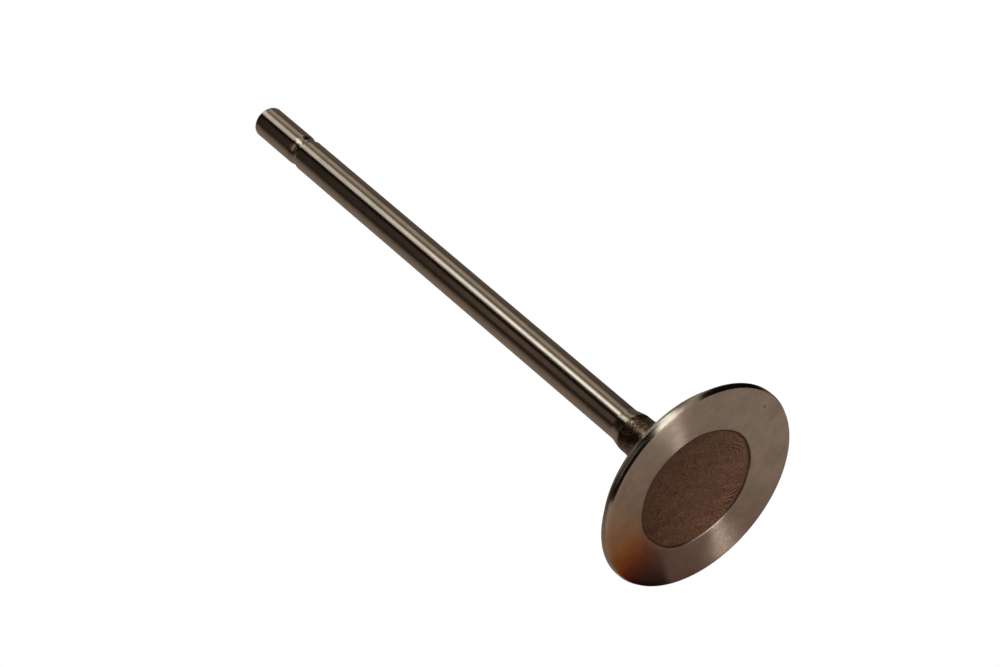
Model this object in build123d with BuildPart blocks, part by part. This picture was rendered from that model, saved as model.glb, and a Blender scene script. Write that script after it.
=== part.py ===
import os
from math import radians, tan

from build123d import *

# Engine valve: one forged and machined piece of heat-resisting steel, standing on its head.
# The valve face lies on the XY plane, with the origin at the centre of its ring,
# and the stem rises along +Z to the tip. Lengths are in millimetres, angles in degrees.

# Head
head_diameter = 44.0            # across the margin, the widest place of the valve
face_chamfer_depth = 0.28       # how far the edge break between face and margin cuts inwards
face_chamfer_height = 0.6       # and how far it climbs the margin
margin_height = 1.3             # from the face to the lower edge of the seat
seat_angle = 45.0               # of the ground sealing cone, measured from the face
seat_width = 1.8                # of that cone, measured along a radius
back_angle = 26.0               # of the forged cone behind the seat, measured from the face
underhead_radius = 12.0         # concave blend from the back of the head into the neck

# Forged recess in the face, left as it came from the die
recess_diameter = 26.0
recess_wall_height = 0.35       # step down from the turned face all round the recess
recess_wall_draft = 25.0        # slope of that step, measured from the upright
recess_dish_depth = 0.75        # how far the dished floor sinks below the foot of the step
recess_shift_x = -0.43          # the die print sits a little off the turned axis
recess_shift_y = -0.6

# Stem and neck
stem_diameter = 7.0
neck_step = 0.6                 # how far the forged neck stands proud of the ground stem
neck_land = 1.2                 # straight forged neck left above the underhead blend
runout_length = 2.6             # cone between the forged neck and the ground stem
shoulder_radius = 1.2           # soft edge where the neck turns into that cone

# Tip end
valve_length = 147.0            # from the face to the tip
tip_radius = 0.6                # rounded edge of the tip
groove_to_tip = 15.1            # from the middle of the keeper groove to the tip
groove_width = 2.4
groove_depth = 0.4

# Radii and heights of the axial section
stem_radius = stem_diameter / 2
neck_radius = stem_radius + neck_step
head_radius = head_diameter / 2
seat_inner_radius = head_radius - seat_width
seat_top = margin_height + seat_width * tan(radians(seat_angle))
back_top = seat_top + (seat_inner_radius - neck_radius) * tan(radians(back_angle))
blend_top = back_top + underhead_radius * tan(radians(90 - back_angle) / 2)
neck_top = blend_top + neck_land
runout_top = neck_top + runout_length


def ring_at(part, height):
    """The circular edge of a turned part that lies nearest to one height."""
    return part.edges().filter_by(GeomType.CIRCLE).sort_by(lambda ring: abs(ring.center().Z - height))[0]


with BuildPart() as valve:

    # Head, neck and stem: half of the axial section, turned about the axis
    with BuildSketch(Plane.XZ):
        with BuildLine():
            Polyline(
                (0, 0),
                (head_radius - face_chamfer_depth, 0),
                (head_radius, face_chamfer_height),
                (head_radius, margin_height),
                (seat_inner_radius, seat_top),
                (neck_radius, back_top),
                (neck_radius, neck_top),
                (stem_radius, runout_top),
                (stem_radius, valve_length),
                (0, valve_length),
                close=True,
            )
        make_face()
    revolve(axis=Axis.Z)

    # The back of the head sweeps up into the neck, which has a soft shoulder; the tip has a rounded edge
    fillet(ring_at(valve, back_top), radius=underhead_radius)
    fillet(ring_at(valve, neck_top), radius=shoulder_radius)
    fillet(ring_at(valve, valve_length), radius=tip_radius)

    # Keeper groove: a shallow channel with a round bottom, once round the stem near the tip
    groove_arc_radius = (groove_width**2 / 4 + groove_depth**2) / (2 * groove_depth)
    groove_centre = (stem_radius - groove_depth + groove_arc_radius, valve_length - groove_to_tip)
    with BuildSketch(Plane.XZ):
        with Locations(groove_centre):
            Circle(groove_arc_radius)
    revolve(axis=Axis.Z, mode=Mode.SUBTRACT)

    # Forged recess: a drafted step round a dished floor, turned about the axis of the die
    recess_rim = (recess_diameter / 2, 0)
    step_foot = (recess_rim[0] - recess_wall_height * tan(radians(recess_wall_draft)), recess_wall_height)
    floor_middle = (0, recess_wall_height + recess_dish_depth)
    die_plane = Plane(origin=(recess_shift_x, recess_shift_y, 0), x_dir=(1, 0, 0), z_dir=(0, -1, 0))
    with BuildSketch(die_plane):
        with BuildLine():
            TangentArc(floor_middle, step_foot, tangent=(1, 0))
            Polyline(step_foot, recess_rim, (0, 0), floor_middle)
        make_face()
    revolve(axis=Axis(die_plane.origin, (0, 0, 1)), mode=Mode.SUBTRACT)

valve.part.label = "valve"

os.makedirs("parts", exist_ok=True)
export_step(valve.part, "parts/valve.step")
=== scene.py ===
import bpy
import numpy as np
from mathutils import Matrix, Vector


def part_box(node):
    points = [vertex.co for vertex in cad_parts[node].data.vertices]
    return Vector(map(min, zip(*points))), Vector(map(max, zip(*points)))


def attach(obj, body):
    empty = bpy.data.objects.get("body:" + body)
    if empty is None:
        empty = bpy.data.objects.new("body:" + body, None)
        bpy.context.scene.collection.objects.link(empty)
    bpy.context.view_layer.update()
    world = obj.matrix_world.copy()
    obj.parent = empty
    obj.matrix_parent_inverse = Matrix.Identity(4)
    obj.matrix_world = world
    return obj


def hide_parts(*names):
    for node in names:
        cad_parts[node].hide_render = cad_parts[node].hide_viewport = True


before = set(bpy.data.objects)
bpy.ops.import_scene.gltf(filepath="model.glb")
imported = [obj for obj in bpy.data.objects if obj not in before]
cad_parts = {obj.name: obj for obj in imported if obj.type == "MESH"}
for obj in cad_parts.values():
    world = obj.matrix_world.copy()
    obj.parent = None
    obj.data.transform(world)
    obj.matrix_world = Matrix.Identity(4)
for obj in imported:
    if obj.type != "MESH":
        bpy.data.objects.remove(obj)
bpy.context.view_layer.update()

# ---------------------------------------------------------------------------------------------
# Camera: a long lens in front of the valve and below the level that it stands on, rolled so
# that the stem runs to the upper left and the face shows as an oval at the lower right.
# ---------------------------------------------------------------------------------------------
sensor_width = 36.0             # this and the lens are in millimetres, all else in metres
lens = 108.9
camera_place = np.array([0.00015, -0.46418, -0.31528])
ahead = np.array([-0.004, 0.778, 0.629])
right = np.array([0.648, 0.481, -0.591])


def posed(across, back, place):
    """The matrix of a camera or lamp at a place: across is its right, and it looks along -back."""
    pose = np.eye(4)
    pose[:3, :3] = np.column_stack([across, np.cross(back, across), back])
    pose[:3, 3] = place
    return Matrix(pose.tolist())


ahead = ahead / np.linalg.norm(ahead)
right = right - ahead * (right @ ahead)
right = right / np.linalg.norm(right)
camera_data = bpy.data.cameras.new("camera")
camera_data.sensor_width = sensor_width
camera_data.lens = lens
camera = bpy.data.objects.new("camera", camera_data)
camera.matrix_world = posed(right, -ahead, camera_place)
bpy.context.scene.collection.objects.link(camera)
bpy.context.scene.camera = camera

# ---------------------------------------------------------------------------------------------
# The valve's form: one steel forging. Its face ring, margin, seat, stem and tip are turned and
# ground true about the stem; the recess, the back of the head and the neck stay as forged.
# ---------------------------------------------------------------------------------------------
low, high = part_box("valve")
valve_length = high.z - low.z
head_radius = 0.022
chamfer_depth = 0.00028
chamfer_height = 0.0006
margin_height = 0.0013
seat_width = 0.0018
back_angle = np.radians(26.0)
underhead_radius = 0.012
stem_radius = 0.0035
neck_radius = 0.0041
neck_land = 0.0012
runout_length = 0.0026
shoulder_radius = 0.004
groove_to_tip = 0.0151
groove_low_side = 0.0009        # how far the groove reaches from its middle, toward the head
groove_high_side = 0.0023       # and toward the tip
groove_bottom = 0.0001          # where its deepest place is, from its middle
groove_depth = 0.0004
tip_radius = 0.0006
recess_radius = 0.013
recess_step = 0.00035
recess_draft = np.radians(25.0)
recess_dish = 0.00075
recess_centre = (-0.00043, -0.0006)
edge_break = 0.00005            # radius of every sharp edge
pole_radius = 0.00002           # of the small rings round the two ends of the axis
segments = 360
dish_rings = 72
rim_crowding = 1.25             # power that brings the dish's rings closer toward its rim
wall_rings = 5                  # rings of the recess's wall and of most of its broken edge
groove_rings = 33

seat_inner_radius = head_radius - seat_width
seat_top = margin_height + seat_width
back_top = seat_top + (seat_inner_radius - neck_radius) * np.tan(back_angle)
neck_top = back_top + underhead_radius * np.tan((np.pi / 2 - back_angle) / 2) + neck_land
stem_start = neck_top + runout_length
groove_height = valve_length - groove_to_tip
step_foot = recess_radius - recess_step * np.tan(recess_draft)


def section_line(corners):
    """A section line through corners of (r, z, arc radius, arc steps, steps of the next leg).

    An arc of radius R in a corner that turns by t leaves both legs R tan(t/2) from the corner,
    and its points are centre + R (sin(a) along - cos(a) inward), with a from 0 to t.
    """
    places = np.array([corner[:2] for corner in corners])
    line = [places[:1]]
    for before, here, after, corner, steps in zip(
        places[:-2], places[1:-1], places[2:], corners[1:-1], [c[4] for c in corners[:-2]]
    ):
        along = (here - before) / np.linalg.norm(here - before)
        onward = (after - here) / np.linalg.norm(after - here)
        turn = np.arccos(along @ onward)
        inward = onward - along * (along @ onward)
        inward = inward / np.linalg.norm(inward)
        arc_start = here - along * corner[2] * np.tan(turn / 2)
        centre = arc_start + inward * corner[2]
        angle = np.linspace(0, turn, corner[3] + 1)[1:, None]
        line.append(np.linspace(line[-1][-1], arc_start, steps + 1)[1:])
        line.append(centre + corner[2] * (np.sin(angle) * along - np.cos(angle) * inward))
    line.append(np.linspace(line[-1][-1], places[-1], corners[-2][4] + 1)[1:])
    return np.concatenate(line)


# The dish of the recess is a parabola. Its rings lie at the shares 1 - (1 - t)^crowding of the
# way to its rim, with t even from 0 to 1.
dish_share = 1 - (1 - np.linspace(0, 1, dish_rings)) ** rim_crowding
dish_radius = pole_radius + (step_foot - pole_radius) * dish_share
dish_height = recess_step + recess_dish * (1 - (dish_radius / step_foot) ** 2)
dish_line = np.column_stack([dish_radius, dish_height])
head_line = section_line([
    (step_foot, recess_step, 0, 0, 3),
    (recess_radius, 0, edge_break, 3, 8),
    (head_radius - chamfer_depth, 0, edge_break, 2, 2),
    (head_radius, chamfer_height, edge_break, 2, 2),
    (head_radius, margin_height, edge_break, 2, 3),
    (seat_inner_radius, seat_top, edge_break, 2, 5),
    (neck_radius, back_top, underhead_radius, 44, 44),
    (neck_radius, neck_top, shoulder_radius, 4, 6),
    (stem_radius, stem_start, shoulder_radius, 3, 6),
    (stem_radius, groove_height - groove_low_side, 0, 0, 0),
])
# The keeper groove is depth x cos squared of the share of the way from its deepest place to
# either end: steep on the head's side and long on the tip's side, with soft edges.
groove_steps = np.linspace(-groove_low_side, groove_high_side, groove_rings)
groove_reach = np.where(
    groove_steps < groove_bottom, groove_low_side + groove_bottom, groove_high_side - groove_bottom
)
groove_line = np.column_stack([
    stem_radius - groove_depth * np.cos(np.pi / 2 * (groove_steps - groove_bottom) / groove_reach) ** 2,
    groove_height + groove_steps,
])
tip_line = section_line([
    (stem_radius, groove_height + groove_high_side, 0, 0, 5),
    (stem_radius, valve_length, tip_radius, 6, 5),
    (pole_radius, valve_length, 0, 0, 0),
])
section = np.concatenate([dish_line, head_line[1:], groove_line[1:], tip_line[1:]])
rings = len(section)
ring_radius, ring_height = section[:, 0], section[:, 1]
in_recess = np.arange(rings) < dish_rings + wall_rings


def smooth_step(value, start, end):
    """0 before start, 1 after end, and 3 t^2 - 2 t^3 of the share of the way between."""
    share = np.clip((value - start) / (end - start), 0, 1)
    return share * share * (3 - 2 * share)


def waves(points, wavelength, seed, count=40):
    """Even, random unevenness: a sum of plane waves cos(k . p + phase), scaled to unit spread.

    Their directions and phases are drawn at random, and their lengths lie within about a third
    of the wavelength given.
    """
    draw = np.random.default_rng(seed)
    direction = draw.normal(size=(3, count))
    direction /= np.linalg.norm(direction, axis=0)
    number = 2 * np.pi / (wavelength * draw.uniform(0.75, 1.35, count))
    phase = draw.uniform(0, 2 * np.pi, count)
    return np.cos(points @ (direction * number) + phase).sum(axis=-1) / np.sqrt(count / 2)


def turned_surface(line, steps):
    """Points of a line of (r, z) carried round the stem's axis: (r cos a, r sin a, z)."""
    angle = np.linspace(0, 2 * np.pi, steps, endpoint=False)
    radius, height = line[:, :1], line[:, 1:]
    grid = [radius * np.cos(angle), radius * np.sin(angle), height + 0 * angle]
    return np.stack(grid, axis=-1), angle


valve_grid, round_angle = turned_surface(section, segments)

# The die print of the recess lies off the axis; the face ring takes up the difference, up to
# the part by its edge that stays true.
true_width = 0.001
off_axis = 1 - smooth_step(ring_radius, recess_radius, head_radius - true_width)
off_axis[in_recess] = 1.0
off_axis[ring_height > margin_height] = 0.0
valve_grid[..., :2] += off_axis[:, None, None] * np.array(recess_centre)

# Its rim wanders by a few tenths of a millimetre where the turned face cuts the forged skin: two
# slow waves round it, and a bulge and a dent as bells exp(-(turn / width)^2) about their angles.
bell_width = 0.3
rim_reach = 0.0012
rim_wander = 0.00009 * np.sin(3 * round_angle + 0.6) + 0.00006 * np.sin(7 * round_angle + 2.1)
for bulge, bulge_angle in ((0.00016, 1.25), (-0.00022, 1.95)):
    rim_wander += bulge * np.exp(-((round_angle - bulge_angle) / bell_width) ** 2)
near_rim = np.exp(-(((ring_radius - recess_radius) / rim_reach) ** 2)) * (ring_height < seat_top)
outward = np.stack([np.cos(round_angle), np.sin(round_angle)], axis=-1)
valve_grid[..., :2] += near_rim[:, None, None] * rim_wander[:, None] * outward

# Forged skin: uneven along the surface's own normal in waves of three lengths, by a few
# hundredths of a millimetre in the recess and a few thousandths on the back of the head.
tangent = np.gradient(section, axis=0)
tangent /= np.linalg.norm(tangent, axis=1, keepdims=True)
normal = np.stack([
    tangent[:, 1:] * np.cos(round_angle),
    tangent[:, 1:] * np.sin(round_angle),
    -tangent[:, :1] + 0 * round_angle,
], axis=-1)
on_back = smooth_step(ring_height, seat_top, seat_top + 0.001)
on_back *= 1 - smooth_step(ring_height, neck_top - 0.0003, neck_top + 0.0002)
on_floor = in_recess * (1 - smooth_step(ring_radius, step_foot - 0.0008, step_foot + 0.0001))
coarse, middle, fine = [
    waves(valve_grid.reshape(-1, 3), wavelength, seed).reshape(valve_grid.shape[:2])
    for seed, wavelength in ((1, 0.0030), (2, 0.0013), (3, 0.0006))
]
back_relief = 0.000006 * coarse + 0.000004 * middle + 0.000003 * fine
floor_relief = 0.000030 * coarse + 0.000010 * middle + 0.000008 * fine

# Metal that flowed in the die left two patches of ripples by the recess's rim: height times
# sin(2 pi d / pitch), with d from one place, bent by the coarse waves. Each patch fades as a
# bell, and is given as (x, y, size, strength).
ripple_centre = (0.0072, 0.0020)
ripple_pitch = 0.00078
ripple_height = 0.000046
ripple_bend = 1.1
ripple_patches = (
    (0.0100, 0.0008, 0.0030, 0.7),
    (0.0040, 0.0102, 0.0036, 1.0),
)
x, y = valve_grid[..., 0], valve_grid[..., 1]
from_centre = np.hypot(x - ripple_centre[0], y - ripple_centre[1])
ripple = np.sin(2 * np.pi * from_centre / ripple_pitch + ripple_bend * coarse)
rippled = np.zeros(x.shape)
for patch_x, patch_y, patch_size, strength in ripple_patches:
    rippled += strength * np.exp(-((x - patch_x) ** 2 + (y - patch_y) ** 2) / patch_size ** 2)
rippled *= smooth_step(middle + coarse, -1.8, 0.6)
floor_relief += ripple_height * ripple * rippled
relief = on_back[:, None] * back_relief + on_floor[:, None] * floor_relief
valve_grid += normal * relief[..., None]

# Quads join each ring to the next, and a fan of triangles closes each end at the axis.
ring, step = np.meshgrid(np.arange(rings - 1), np.arange(segments), indexing="ij")
ring, step = ring.ravel(), step.ravel()
beside = (step + 1) % segments
quads = np.column_stack([
    ring * segments + step,
    ring * segments + beside,
    (ring + 1) * segments + beside,
    (ring + 1) * segments + step,
])
first_pole, last_pole = rings * segments, rings * segments + 1
around = np.arange(segments)
last_ring = (rings - 1) * segments
face_fan = np.column_stack([np.full(segments, first_pole), np.roll(around, -1), around])
tip_fan = np.column_stack([
    np.full(segments, last_pole), last_ring + around, last_ring + np.roll(around, -1)
])
poles = [(*recess_centre, dish_height[0]), (0, 0, valve_length)]
valve_mesh = bpy.data.meshes.new("valve_surface")
valve_mesh.from_pydata(
    np.concatenate([valve_grid.reshape(-1, 3), poles]).tolist(),
    [],
    quads.tolist() + face_fan.tolist() + tip_fan.tolist(),
)

# Each strip between two rings wears the skin of the zone that its middle lies in. The face and
# tip are level with their zones' limits, so a hair is allowed there, and the foot of the
# recess's wall still wears the forged skin.
RECESS, WALL, FACE, EDGE, SEAT, FORGED, STEM, TIP = range(8)
strip_height = (ring_height[1:] + ring_height[:-1]) / 2
hair = edge_break / 4
wall_skin_top = 0.7 * recess_step
zone = np.select(
    [
        in_recess[1:] & (strip_height > wall_skin_top),
        in_recess[1:],
        strip_height < hair,
        strip_height < margin_height + hair,
        strip_height < seat_top,
        strip_height < neck_top,
        strip_height < valve_length - hair,
    ],
    [RECESS, WALL, FACE, EDGE, SEAT, FORGED, STEM],
    TIP,
)
face_zone = np.concatenate([np.repeat(zone, segments), np.full(segments, RECESS), np.full(segments, TIP)])
valve_mesh.polygons.foreach_set("material_index", face_zone.astype(np.int32))
valve_mesh.polygons.foreach_set("use_smooth", np.ones(len(face_zone), bool))


def store_share(name, share, at_poles):
    """Keep a share from 0 to 1 for each point of the valve's grid, and one for both poles."""
    attribute = valve_mesh.attributes.new(name, "FLOAT", "POINT")
    values = np.append(np.clip(share, 0, 1), [at_poles, at_poles])
    attribute.data.foreach_set("value", values.astype(np.float32))


# The share of rubbed steel, from 0 for dark scale to 1 for bright steel, which also carries
# painted light and shade: high points and the crests of ripples are lighter, partly as dark
# scale kept in the hollows and partly as painted shade that makes the relief show.
rubbed_and_painted_shading = 0.5 + (middle + fine) * (on_back / 10 + on_floor / 30)[:, None]
rubbed_and_painted_shading += ((0.9 * ripple - 0.15) * rippled + 0.04 * coarse) * on_floor[:, None]
# Painted light: the recess is lighter toward one side, growing over 7 mm each way from the axis.
toward_lit_side = 0.34 * x + 0.94 * y
rubbed_and_painted_shading += 0.18 * np.clip(toward_lit_side / 0.007, -1, 1) * on_floor[:, None]
# The neck is darker than the back of the head.
rubbed_and_painted_shading -= 0.28 * (on_back * smooth_step(ring_height, 0.0125, 0.0165))[:, None]
# Painted light on the fine grain: it shows brightest by the rim, about one angle, on the side
# that is painted lighter.
grain_angle = 1.83
grain_spread = 0.55
lit_grain_side = np.exp(-((round_angle - grain_angle) / grain_spread) ** 2)
lit_grain_side = smooth_step(ring_radius, 0.0085, 0.0115)[:, None] * lit_grain_side
rubbed_and_painted_shading += 0.3 * np.clip(fine, -0.6, 2) * lit_grain_side * on_floor[:, None]
# Painted shade: a thin dark line at the foot of the recess's wall, wider toward the -Y side.
foot_shade_width = 0.00014 + 0.00020 * (1 - np.sin(round_angle)) ** 1.5
from_foot = (step_foot - section[:, :1]) / foot_shade_width
rubbed_and_painted_shading -= 0.8 * (in_recess[:, None] & (from_foot > -0.3)) * (1 - smooth_step(from_foot, 0.6, 1.0))
# The share of smooth olive scale, which is left along the rim on the recess's other side.
olive = smooth_step(-toward_lit_side, -0.002, 0.007) * smooth_step(section[:, :1], 0.0088, 0.0124)
olive = (olive + 0.10 * (coarse + middle)) * in_recess[:, None]
store_share("olive", olive, 0)
store_share("rubbed_and_painted_shading", rubbed_and_painted_shading, 0.5)

sharp_angle = np.radians(28.0)
valve_mesh.set_sharp_from_angle(angle=sharp_angle)
valve_mesh.validate()
valve = bpy.data.objects.new("engine_valve", valve_mesh)
bpy.context.scene.collection.objects.link(valve)
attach(valve, "root")
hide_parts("valve")

# ---------------------------------------------------------------------------------------------
# The machined skin: bare heat-resisting steel, ground round and round on the stem and the seat
# and faced in a lathe on the ring, so that its fine lines all run round the axis.
# ---------------------------------------------------------------------------------------------
steel_light = (0.445, 0.375, 0.315)
steel_dark = (0.37, 0.325, 0.265)
pit_black = (0.08, 0.05, 0.035)
# A painted highlight's colour, for one pale patch on the face.
painted_highlight_pale = (0.78, 0.66, 0.56)
oil_brown = (0.20, 0.165, 0.13)
cloud_scale = 240.0             # cells of noise to the metre in the steel's light and dark clouds,
line_scale = 3000.0             # across the tool's lines,
sway_scale = 330.0              # in the slow unevenness that bends reflections,
oil_scale = 700.0               # and in the blotches of oil
round_scale = 1.5               # cells to the radian round the axis, along the tool's lines
fine_lines = 0.0000004          # depth of the lines on the stem and the edges
deep_lines = 0.0000006          # and on the seat, the face and the tip
slight_sway = 0.000004          # depth of the slow unevenness on narrow bands
full_sway = 0.000006            # and on the stem, the face and the tip


def node(tree, kind, *inputs, **settings):
    """A shader node of one kind, with its settings, and its inputs joined or filled in order."""
    made = tree.nodes.new("ShaderNode" + kind)
    for name, value in settings.items():
        setattr(made, name, value)
    for place, value in enumerate(inputs):
        if isinstance(value, bpy.types.NodeSocket):
            tree.links.new(value, made.inputs[place])
        elif value is not None:
            made.inputs[place].default_value = value
    return made


def blank_material(name):
    """A new material with no nodes yet."""
    material = bpy.data.materials.new(name)
    material.use_nodes = True
    material.node_tree.nodes.clear()
    return material, material.node_tree


def metal(name):
    """A new material with only its output and a Principled shader for metal."""
    material, tree = blank_material(name)
    shader = node(tree, "BsdfPrincipled")
    shader.inputs["Metallic"].default_value = 1.0
    node(tree, "OutputMaterial", shader.outputs[0])
    return material, tree, shader


def join_surface(tree, shader, colour, rough, bump):
    """Join a metal shader to its colour, roughness and bump."""
    tree.links.new(colour, shader.inputs["Base Color"])
    tree.links.new(rough, shader.inputs["Roughness"])
    tree.links.new(bump, shader.inputs["Normal"])


def mixed_colour(tree, share, first, second):
    """A colour part of the way from the first to the second."""
    mix = node(tree, "Mix", data_type="RGBA")
    tree.links.new(share, mix.inputs["Factor"])
    for socket, colour in (("A", first), ("B", second)):
        place = [s for s in mix.inputs if s.name == socket and s.type == "RGBA"][0]
        if isinstance(colour, bpy.types.NodeSocket):
            tree.links.new(colour, place)
        else:
            place.default_value = (*colour, 1)
    return [s for s in mix.outputs if s.type == "RGBA"][0]


def round_patch(tree, place, centre, inner_radius, outer_radius, share):
    """The share within the inner radius of a centre, falling evenly to 0 at the outer radius."""
    away = node(tree, "VectorMath", place, centre, operation="DISTANCE").outputs["Value"]
    return node(tree, "MapRange", away, inner_radius, outer_radius, share, 0.0).outputs[0]


def oil_blotches(tree, place):
    """A share that is 1 where a smooth noise passes its middle, and falls to 0 on both sides."""
    oil = node(tree, "TexNoise", place, None, oil_scale, 3.0, 0.6).outputs[0]
    from_middle = node(tree, "Math", oil, 0.5, operation="SUBTRACT").outputs[0]
    from_middle = node(tree, "Math", from_middle, operation="ABSOLUTE").outputs[0]
    return node(tree, "MapRange", from_middle, 0.0, 0.14, 1.0, 0.0).outputs[0]


def machined_steel(name, line_depth, sway, roughness, anisotropy, along_axis=True, marks=(), stains=()):
    """Steel with fine lines round the axis.

    The lines are noise that changes fast along the section (along the axis on the stem, along
    the radius on the face) and slowly round it. The blur of reflections runs across them. A mark
    is a round patch of another colour, as (centre, radius, share, colour). A stain is a patch of
    blotches of dried oil, as (centre, radius, share).
    """
    material, tree, shader = metal(name)
    place = node(tree, "TexCoord").outputs["Object"]
    flat = node(tree, "VectorMath", place, (1, 1, 0), operation="MULTIPLY")
    outward = node(tree, "VectorMath", flat.outputs[0], operation="NORMALIZE").outputs[0]
    radius = node(tree, "VectorMath", flat.outputs[0], operation="LENGTH").outputs["Value"]
    height = node(tree, "SeparateXYZ", place).outputs[2]
    stretch = (round_scale, round_scale, 0)
    round_about = node(tree, "VectorMath", outward, stretch, operation="MULTIPLY").outputs[0]
    across = node(tree, "Math", height if along_axis else radius, line_scale, operation="MULTIPLY")
    lift = node(tree, "CombineXYZ", 0.0, 0.0, across.outputs[0])
    line_place = node(tree, "VectorMath", round_about, lift.outputs[0], operation="ADD").outputs[0]
    line = node(tree, "TexNoise", line_place, None, 1.0, 2.0, 0.5).outputs[0]
    cloud = node(tree, "TexNoise", place, None, cloud_scale, 5.0, 0.75).outputs[0]
    share = node(tree, "MapRange", cloud, 0.40, 0.60, 0.0, 1.0).outputs[0]
    colour = mixed_colour(tree, share, steel_light, steel_dark)
    for centre, mark_radius, depth, mark_colour in marks:
        inside = round_patch(tree, place, centre, mark_radius * 0.4, mark_radius, depth)
        colour = mixed_colour(tree, inside, colour, mark_colour)
    for centre, stain_radius, depth in stains:
        inside = round_patch(tree, place, centre, stain_radius * 0.5, stain_radius, depth)
        shade = node(tree, "Math", inside, oil_blotches(tree, place), operation="MULTIPLY").outputs[0]
        colour = mixed_colour(tree, shade, colour, oil_brown)
    rough = node(tree, "MapRange", line, 0.3, 0.7, roughness * 0.93, roughness * 1.07).outputs[0]
    swell = node(tree, "TexNoise", place, None, sway_scale, 1.0, 0.5).outputs[0]
    swayed = node(tree, "Bump", 1.0, sway, None, swell)
    bump = node(tree, "Bump", 1.0, line_depth, None, line, swayed.outputs[0])
    join_surface(tree, shader, colour, rough, bump.outputs[0])
    shader.inputs["Anisotropic"].default_value = anisotropy
    if along_axis:
        blur_way = node(tree, "CombineXYZ", 0.0, 0.0, 1.0).outputs[0]
    else:
        blur_way = outward
    tree.links.new(blur_way, shader.inputs["Tangent"])
    return material


# Four tiny pits, and one pale patch that is a painted highlight, brightening one of the face's
# bright wedges.
face_marks = (
    ((0.0193, -0.0012, 0), 0.0004, 0.7, pit_black),
    ((0.0190, 0.0068, 0), 0.0004, 0.3, pit_black),
    ((0.0176, -0.0101, 0), 0.0003, 0.25, pit_black),
    ((-0.0048, 0.0172, 0), 0.00025, 0.4, pit_black),
    ((-0.0050, 0.0178, 0), 0.0064, 0.5, painted_highlight_pale),
)
# Three faint stains of oil.
face_stains = (
    ((0.0198, 0.0022, 0), 0.0024, 0.38),
    ((0.0140, 0.0118, 0), 0.0036, 0.34),
    ((-0.0036, 0.0185, 0), 0.0042, 0.30),
)
stem_steel = machined_steel("ground_stem", fine_lines, full_sway, roughness=0.145, anisotropy=0.6)
wall_steel = machined_steel("bright_step", fine_lines, slight_sway, roughness=0.38, anisotropy=0.2)
edge_steel = machined_steel("turned_edge", fine_lines, slight_sway, roughness=0.18, anisotropy=0.5)
seat_steel = machined_steel("ground_seat", deep_lines, slight_sway, roughness=0.27, anisotropy=1.0)
face_steel = machined_steel(
    "turned_face",
    deep_lines,
    full_sway,
    roughness=0.25,
    anisotropy=1.0,
    along_axis=False,
    marks=face_marks,
    stains=face_stains,
)
tip_steel = machined_steel(
    "ground_tip", deep_lines, full_sway, roughness=0.26, anisotropy=0.8, along_axis=False
)

# ---------------------------------------------------------------------------------------------
# The forged skin: steel brown with scale, dull in the recess, and shinier and coarser on the
# back of the head and the neck, where the shot-blasted grain catches the light.
# ---------------------------------------------------------------------------------------------
scale_clouds = 210.0            # cells of noise to the metre in the tint of the scale


def forged_steel(name, brown, olive, dark, grain_scale, grain_depth, roughness, speckle):
    """Forged steel: dark scale in the hollows, rubbed high points with painted light and shade, and a fine
    blasted grain.
    """
    material, tree, shader = metal(name)
    place = node(tree, "TexCoord").outputs["Object"]
    cloud = node(tree, "TexNoise", place, None, scale_clouds, 4.0, 0.6).outputs[0]
    pits = node(tree, "TexNoise", place, None, grain_scale, 2.0, 0.65).outputs[0]
    smooth_scale = node(tree, "Attribute", attribute_name="olive").outputs["Fac"]
    tint = node(tree, "MapRange", cloud, 0.42, 0.62, 0.0, 0.6).outputs[0]
    tint = node(tree, "Math", tint, smooth_scale, operation="ADD", use_clamp=True).outputs[0]
    # The stored share holds both wear and painted light and shade.
    rubbed_and_painted_shading = node(tree, "Attribute", attribute_name="rubbed_and_painted_shading").outputs["Fac"]
    speck = node(tree, "MapRange", pits, 0.3, 0.7, -speckle, speckle).outputs[0]
    grainy = node(tree, "MapRange", smooth_scale, 0.0, 1.0, 1.0, 0.35).outputs[0]
    speck = node(tree, "Math", speck, grainy, operation="MULTIPLY").outputs[0]
    share = node(tree, "Math", rubbed_and_painted_shading, speck, operation="ADD", use_clamp=True).outputs[0]
    colour = mixed_colour(tree, share, dark, mixed_colour(tree, tint, brown, olive))
    rough = node(tree, "MapRange", pits, 0.3, 0.7, roughness * 1.15, roughness * 0.85)
    bump = node(tree, "Bump", grainy, grain_depth, None, pits)
    join_surface(tree, shader, colour, rough.outputs[0], bump.outputs[0])
    return material


recess_skin = forged_steel(
    "forged_recess",
    brown=(0.29, 0.167, 0.117),
    olive=(0.215, 0.155, 0.092),
    dark=(0.085, 0.042, 0.026),
    grain_scale=3200.0,
    grain_depth=0.000015,
    roughness=0.5,
    speckle=0.52,
)
back_skin = forged_steel(
    "forged_back",
    brown=(0.345, 0.222, 0.15),
    olive=(0.30, 0.23, 0.142),
    dark=(0.04, 0.025, 0.015),
    grain_scale=2700.0,
    grain_depth=0.000009,
    roughness=0.27,
    speckle=0.5,
)
# The skins, in the order of the zones above.
for skin in (recess_skin, wall_steel, face_steel, edge_steel, seat_steel, back_skin, stem_steel, tip_steel):
    valve_mesh.materials.append(skin)

# ---------------------------------------------------------------------------------------------
# Studio: a pale floor with the valve standing on it, seen only from above, under a white sky.
# Flats, a bench and strip lights stand round it, and show only as reflections in the steel.
# ---------------------------------------------------------------------------------------------


def glow(name, colour, strength):
    """A surface that gives off one even colour."""
    material, tree = blank_material(name)
    light = node(tree, "Emission", (*colour, 1), strength)
    node(tree, "OutputMaterial", light.outputs[0])
    return material


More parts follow.
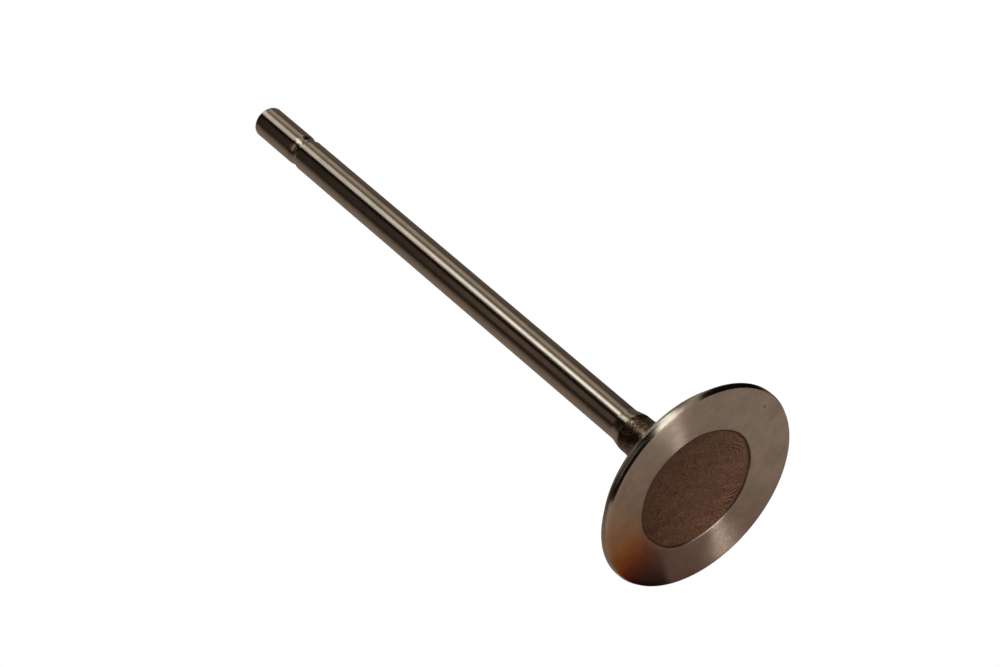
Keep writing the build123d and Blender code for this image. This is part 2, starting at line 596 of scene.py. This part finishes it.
def sheet_mesh(name, points):
    """A mesh of four-sided faces through a grid of points."""
    rows, columns = points.shape[:2]
    index = np.arange(rows * columns).reshape(rows, columns)
    faces = np.stack([index[:-1, :-1], index[:-1, 1:], index[1:, 1:], index[1:, :-1]], axis=-1)
    mesh = bpy.data.meshes.new(name)
    mesh.from_pydata(points.reshape(-1, 3).tolist(), [], faces.reshape(-1, 4).tolist())
    made = bpy.data.objects.new(name, mesh)
    bpy.context.scene.collection.objects.link(made)
    return made


def from_azimuth(azimuth, elevation):
    """Unit vectors (cos e sin a, -cos e cos a, sin e) for angles in degrees."""
    turn, climb = np.radians(azimuth), np.radians(elevation)
    return np.stack([np.cos(climb) * np.sin(turn), -np.cos(climb) * np.cos(turn), np.sin(climb)], axis=-1)


def reflected_only(made, material):
    """Show a card in reflections alone, with no light of its own on the floor."""
    made.data.materials.append(material)
    made.visible_camera = False
    made.visible_shadow = False
    made.visible_diffuse = False


def painted_glow(name):
    """A glow whose colour is painted on the mesh as its colour attribute."""
    material, tree = blank_material(name)
    paint = node(tree, "Attribute", attribute_name="glow")
    light = node(tree, "Emission", paint.outputs["Color"], 1.0)
    node(tree, "OutputMaterial", light.outputs[0])
    return material


def paint_glow(made, colour):
    """Store one linear colour per point of a sheet."""
    stored = made.data.attributes.new("glow", "FLOAT_COLOR", "POINT")
    rgba = np.concatenate([colour, np.ones((*colour.shape[:2], 1))], axis=-1)
    stored.data.foreach_set("color", rgba.astype(np.float32).ravel())


# The tent: a round wall of pale and black flats, as (azimuths, elevations, soft edges of each,
# colour). Azimuth runs from the -Y side toward +X, and each flat covers the ones before it.
tent_radius = 0.6
flats = {
    "wall": ((-180, 180), (-90, 90), (6, 6), (0.16, 0.135, 0.11)),
    "bench": ((-180, 180), (-90, -22), (8, 8), (0.40, 0.335, 0.295)),
    "left_wall": ((-160, -62), (-24, 90), (30, 10), (0.31, 0.25, 0.205)),
    "ceiling": ((-180, 180), (74, 90), (6, 8), (0.45, 0.41, 0.36)),
    "left_shade": ((-74, -20), (-40, 90), (56, 6), (0.010, 0.007, 0.005)),
    "left_black": ((-56, 14), (-40, 90), (16, 6), (0.006, 0.004, 0.003)),
    "left_brown": ((-56, -7), (33, 60), (16, 8), (0.055, 0.042, 0.035)),
    "left_brown_low": ((-40, -10), (40.5, 44.5), (10, 2), (0.25, 0.19, 0.16)),
    "left_pale": ((-46, -2), (5, 28), (18, 8), (0.52, 0.44, 0.38)),
    "softbox_high": ((15, 44), (44, 60), (8, 5), (1.0, 0.99, 0.96)),
    "softbox_top": ((25, 56), (60, 90), (8, 6), (1.9, 1.9, 1.85)),
    "softbox": ((20, 45), (28, 45), (3, 4), (1.1, 1.1, 1.07)),
    "softbox_low": ((13, 46), (-44, 30), (5, 6), (1.1, 1.1, 1.07)),
    "softbox_heart": ((24, 38), (26, 46.5), (5, 3), (2.15, 2.22, 2.25)),
    "softbox_heart_low": ((18, 36), (-40, 28), (5, 4), (2.5, 2.55, 2.5)),
    "between": ((44, 60), (32, 60), (4, 4), (0.26, 0.23, 0.18)),
    "between_low": ((45, 62), (-26, 6), (4, 8), (0.46, 0.40, 0.35)),
    "right_middle": ((46, 72), (8, 36), (8, 6), (0.50, 0.44, 0.37)),
    "right_pale": ((62, 88), (34, 60), (7, 6), (0.60, 0.53, 0.47)),
    "right_pale_top": ((76, 104), (58, 90), (8, 6), (0.55, 0.49, 0.43)),
    "right_black": ((74, 150), (-34, 38.5), (5, 3), (0.003, 0.002, 0.001)),
    "right_black_left": ((67, 110), (8, 33), (5, 5), (0.003, 0.002, 0.001)),
    "right_black_low": ((64, 150), (-34, 8), (6, 6), (0.004, 0.003, 0.002)),
    "right_edge": ((133, 156), (6, 28), (8, 6), (0.18, 0.15, 0.125)),
    "right_wall": ((92, 134), (38.5, 76), (10, 3), (0.16, 0.13, 0.11)),
    "back": ((152, 180), (-24, 62), (16, 8), (0.09, 0.075, 0.06)),
    "back_left": ((-180, -156), (-24, 62), (16, 8), (0.09, 0.075, 0.06)),
}
azimuth_step = 1.5
elevation_step = 1.0
tent_azimuth, tent_elevation = np.meshgrid(
    np.arange(-180, 181, azimuth_step), np.arange(-90, 91, elevation_step)
)
tent_paint = np.zeros((*tent_azimuth.shape, 3))
for azimuths, elevations, edges, colour in flats.values():
    cover = np.ones(tent_azimuth.shape)
    for angle, (first, last), edge, limit in (
        (tent_azimuth, azimuths, edges[0], 180), (tent_elevation, elevations, edges[1], 90)
    ):
        cover *= 1.0 if first <= -limit else smooth_step(angle, first - edge / 2, first + edge / 2)
        cover *= 1.0 if last >= limit else 1 - smooth_step(angle, last - edge / 2, last + edge / 2)
    tent_paint += cover[..., None] * (np.array(colour) - tent_paint)
tent = sheet_mesh("tent", tent_radius * from_azimuth(tent_azimuth, tent_elevation))
paint_glow(tent, tent_paint)
painted = painted_glow("painted_flats")
reflected_only(tent, painted)

# A low strip light in three parts, as (start, end, strength) with the angles in degrees: the
# turned face throws it to the camera along one line through its centre, which spreads into two
# bright wedges. Each point lies where a normal tilted by a slope, at a swing, mirrors the view:
# 2 (n . v) n - v, with v back to the camera.
strip_colour = (1.0, 0.94, 0.88)
strip_distance = 0.5
slopes = np.linspace(0.34, 0.8, 9)
back_to_camera = -ahead
for number, (start, end, strength) in enumerate(((5, 10, 1.6), (10, 15, 4.5), (15, 21.5, 8.5))):
    slope, swing = np.meshgrid(slopes, np.radians(np.linspace(start, end, 5)))
    tilted = np.stack([slope * np.sin(swing), -slope * np.cos(swing), -np.ones(slope.shape)], axis=-1)
    tilted /= np.linalg.norm(tilted, axis=-1, keepdims=True)
    strip_way = 2 * (tilted @ back_to_camera)[..., None] * tilted - back_to_camera
    strip = sheet_mesh("strip_light_%d" % number, strip_distance * strip_way)
    reflected_only(strip, glow("strip_glow_%d" % number, strip_colour, strength))

# The bench that the head rests against on its other side: a leaning plane, whose points lie
# outward by lean x drop, sideways by side and down by drop from the place of touch.
touch_angle = np.radians(125)
touch_gap = 0.0002
lean = 0.126
outward_way = np.array([np.cos(touch_angle), np.sin(touch_angle), 0])
sideways_way = np.array([-np.sin(touch_angle), np.cos(touch_angle), 0])
fine_across = np.linspace(-0.03, 0.03, 61)
across = np.concatenate([np.linspace(-0.3, -0.034, 9), fine_across, np.linspace(0.034, 0.3, 9)])
below = np.concatenate([np.linspace(0.0003, 0.04, 67), np.linspace(0.045, 0.3, 9)])
side, drop = np.meshgrid(across, below)
bench_grid = (
    (head_radius + touch_gap + lean * drop)[..., None] * outward_way
    + side[..., None] * sideways_way
    - drop[..., None] * np.array([0, 0, 1])
)
bench = sheet_mesh("bench_side", bench_grid)


def graded(distance, reach, levels):
    """A colour that runs straight from one level to the next as the distance passes each reach."""
    return np.stack([np.interp(distance, reach, level) for level in levels], axis=-1)


# The bench's glow is painted: light on the bench, and the head's shadow on it. It shows only in
# reflections.
# The lit bench is dim and brown by the head, and paler away from it.
lit = graded(
    np.hypot(side - 0.007, drop - 0.003),
    (0.005, 0.012, 0.028, 0.045, 0.07),
    (
        (0.17, 0.20, 0.31, 0.44, 0.41),
        (0.10, 0.13, 0.23, 0.375, 0.34),
        (0.08, 0.105, 0.19, 0.325, 0.30),
    ),
)
# The head's shadow is black where it is deep, and turns orange-brown and then pale farther out.
shadow_reach = drop - 0.8 * np.clip(0.004 - side, 0, 0.006) + np.clip(side - 0.010, 0, 0.1)
shaded = graded(
    shadow_reach,
    (0.005, 0.007, 0.009, 0.0115, 0.0145, 0.018, 0.023, 0.03, 0.038, 0.05),
    (
        (0, 0.04, 0.12, 0.23, 0.33, 0.39, 0.42, 0.43, 0.44, 0.44),
        (0, 0, 0.01, 0.045, 0.12, 0.19, 0.24, 0.28, 0.32, 0.36),
        (0, 0, 0, 0.005, 0.02, 0.08, 0.15, 0.20, 0.25, 0.31),
    ),
)
# Its edge leans toward the place of touch, and softens with distance from it.
shadow_edge = np.maximum(0.0042 - 0.5 * (drop - 0.004), -0.0015)
shadow_soft = 0.0004 + 0.16 * np.clip(drop - 0.005, 0, 0.02)
in_shadow = smooth_step((side - shadow_edge) / shadow_soft, -1, 1)
paint_glow(bench, lit + (shaded - lit) * in_shadow[..., None])
reflected_only(bench, painted)

# The floor is a ring under the head's edge, clear from below, that fades into the white far out.
floor_steps = 128
floor_radii = np.concatenate([[head_radius - 0.0001], np.geomspace(0.03, 6.0, 24)])
floor_line = np.column_stack([floor_radii, np.zeros(len(floor_radii))])
floor_grid, _ = turned_surface(floor_line, floor_steps)
floor = sheet_mesh("floor", np.concatenate([floor_grid, floor_grid[:, :1]], axis=1)[:, ::-1])
floor.visible_diffuse = False
floor.visible_glossy = False
floor.visible_transmission = False
floor.visible_shadow = False
fade_start = 0.06
fade_end = 0.22
floor_material, tree = blank_material("pale_floor")
floor_place = node(tree, "TexCoord").outputs["Object"]
far_out = node(tree, "VectorMath", floor_place, operation="LENGTH").outputs["Value"]
fade = node(tree, "MapRange", far_out, fade_start, fade_end, 0.0, 1.0).outputs[0]
paint = node(tree, "BsdfDiffuse", (0.82, 0.82, 0.81, 1))
haze = node(tree, "Emission", (1, 1, 1, 1), 1.0)
pale = node(tree, "MixShader", fade, paint.outputs[0], haze.outputs[0])
clear = node(tree, "BsdfTransparent")
underside = node(tree, "NewGeometry").outputs["Backfacing"]
seen = node(tree, "MixShader", underside, pale.outputs[0], clear.outputs[0])
node(tree, "OutputMaterial", seen.outputs[0])
floor.data.materials.append(floor_material)

# The sky is full white where it is seen or mirrored, and lights matt surfaces more softly.
sky_light = 0.45
world = bpy.data.worlds.new("sky")
bpy.context.scene.world = world
world.use_nodes = True
tree = world.node_tree
tree.nodes.clear()
ray = node(tree, "LightPath")
shown = node(tree, "Math", ray.outputs["Is Camera Ray"], ray.outputs["Is Glossy Ray"], operation="MAXIMUM")
shown = node(tree, "Math", shown.outputs[0], ray.outputs["Is Transmission Ray"], operation="MAXIMUM")
level = node(tree, "MapRange", shown.outputs[0], 0.0, 1.0, sky_light, 1.0)
sky = node(tree, "Background", (1, 1, 1, 1), level.outputs[0])
node(tree, "OutputWorld", sky.outputs[0])

lamp_distance = 0.9
lamp_size = 0.6


def softbox(name, azimuth, elevation, power):
    """A square soft lamp that points at the middle of the valve."""
    data = bpy.data.lights.new(name, "AREA")
    data.size = lamp_size
    data.energy = power
    lamp = bpy.data.objects.new(name, data)
    bpy.context.scene.collection.objects.link(lamp)
    back = from_azimuth(azimuth, elevation)
    level_way = from_azimuth(azimuth + 90, 0)
    lamp.matrix_world = posed(level_way, back, back * lamp_distance + (0, 0, valve_length / 2))
    lamp.visible_camera = False
    lamp.visible_glossy = False


softbox("lamp_top", 20, 60, power=9.0)
softbox("lamp_side", -70, 35, power=4.0)

bpy.context.scene.view_settings.view_transform = "Standard"
